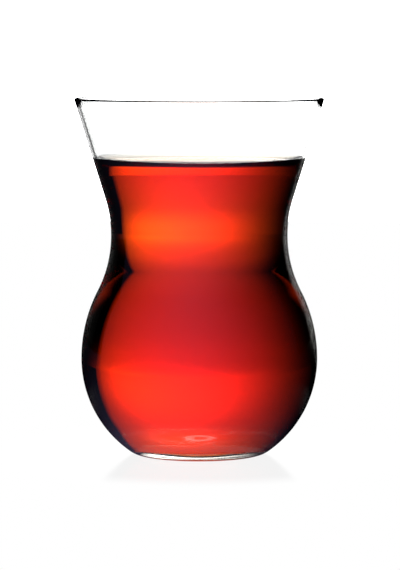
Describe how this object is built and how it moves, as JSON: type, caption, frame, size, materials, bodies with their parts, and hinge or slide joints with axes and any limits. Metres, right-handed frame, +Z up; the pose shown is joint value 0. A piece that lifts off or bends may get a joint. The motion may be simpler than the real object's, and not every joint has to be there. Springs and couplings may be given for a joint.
{
  "type": "turkish tea glass",
  "caption": "Clear tulip-shaped tea glass with a flared mouth, narrow waist and round belly, filled with black tea, standing on a flat foot ring.",
  "frame": {"origin": "centre of the foot's standing plane, on the axis of the glass", "axes": "+Z up along the axis of the glass, +X and +Y across it, all directions round it alike"},
  "size_m": [0.06, 0.06, 0.086],
  "materials": {
    "clear_glass": "clear and colourless, fire-polished smooth",
    "black_tea": "clear deep red-orange liquid with a mirror-flat surface"
  },
  "bodies": {
    "root": {"glass": "clear_glass", "tea": "black_tea"}
  },
  "joints": []
}
